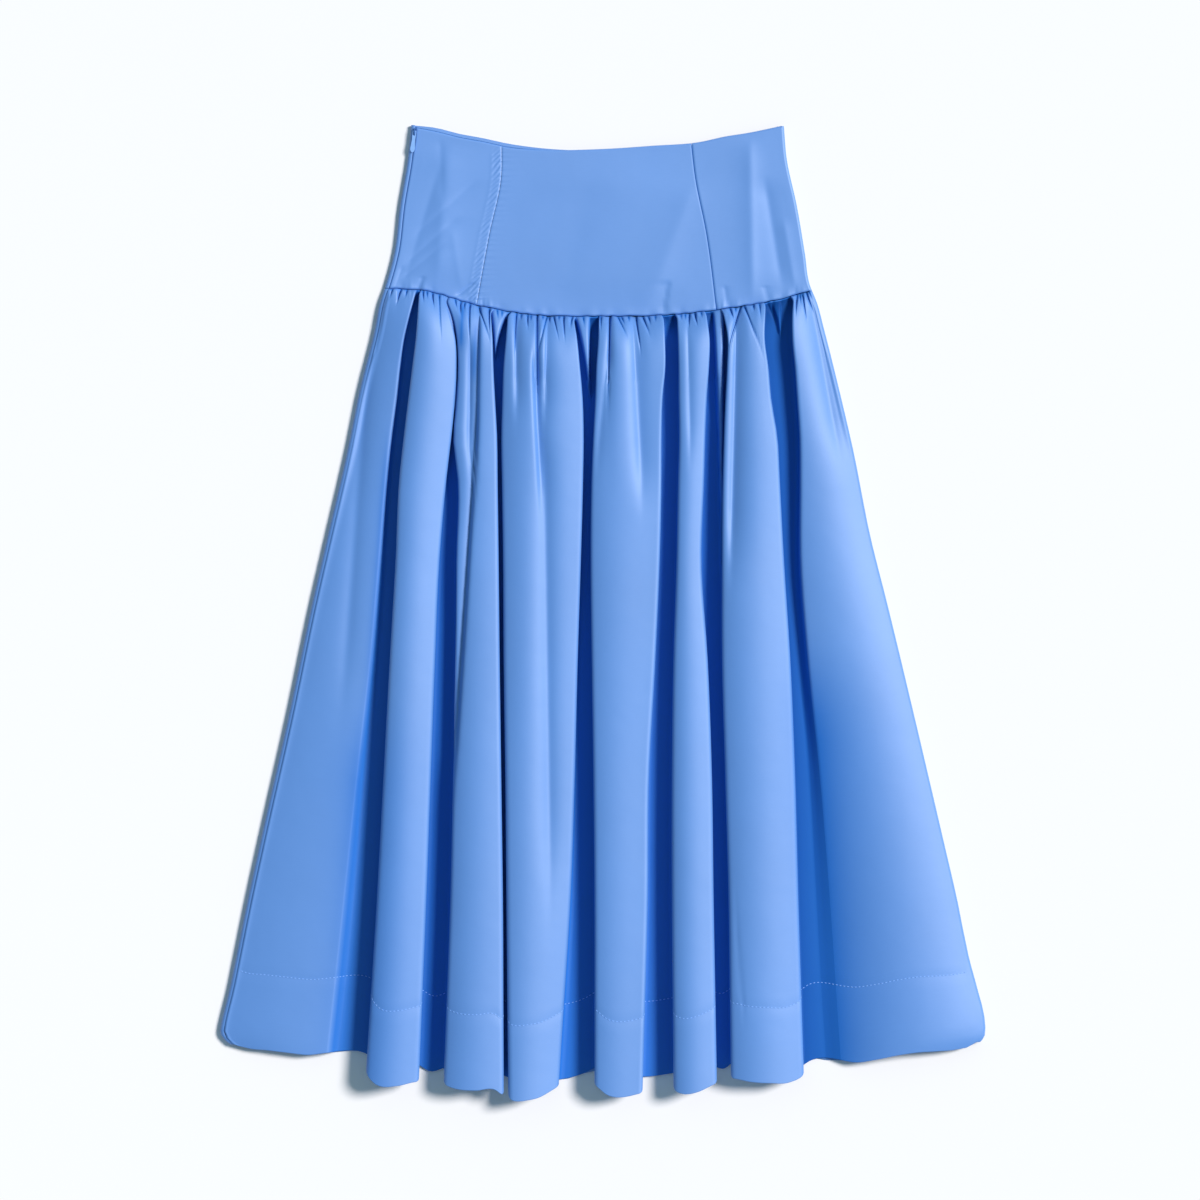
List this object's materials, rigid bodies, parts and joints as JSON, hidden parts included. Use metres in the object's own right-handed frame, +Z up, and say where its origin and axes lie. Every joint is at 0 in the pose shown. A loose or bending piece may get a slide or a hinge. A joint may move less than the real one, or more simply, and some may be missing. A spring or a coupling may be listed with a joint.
{
  "type": "gathered midi skirt",
  "caption": "Gathered midi skirt on a shaped, panelled hip yoke, with deep soft folds, a turned hem and a side zip, laid flat on its back.",
  "frame": {"origin": "centre of the flat garment's outline, on the surface that it lies on", "axes": "+Z up out of the front, +Y towards the waist, +X towards the side without the zip"},
  "size_m": [0.7114, 0.9095, 0.0348],
  "materials": {
    "skirt_cotton": "crisp plain-weave cotton with a faint satin sheen",
    "yoke_cotton": "the same cotton, pressed flat and doubled",
    "zip_tape": "fine woven tape",
    "zip_enamel": "enamelled to match the cloth"
  },
  "bodies": {
    "garment": {"yoke_front_centre": "yoke_cotton", "yoke_front_left": "yoke_cotton", "yoke_front_right": "yoke_cotton", "yoke_back": "yoke_cotton", "skirt_front": "skirt_cotton", "skirt_back": "skirt_cotton", "zip_tape": "zip_tape", "zip_slider": "zip_enamel"},
    "pull_tab": {"zip_pull": "zip_enamel"}
  },
  "joints": [
    {"name": "pull_tab_hinge", "type": "hinge", "parent": "garment", "child": "pull_tab", "pos_m": [-0.17495, 0.4469, 0.0068], "axis": [-0.9931, 0.1176, 0], "range_deg": [0, 170]}
  ]
}
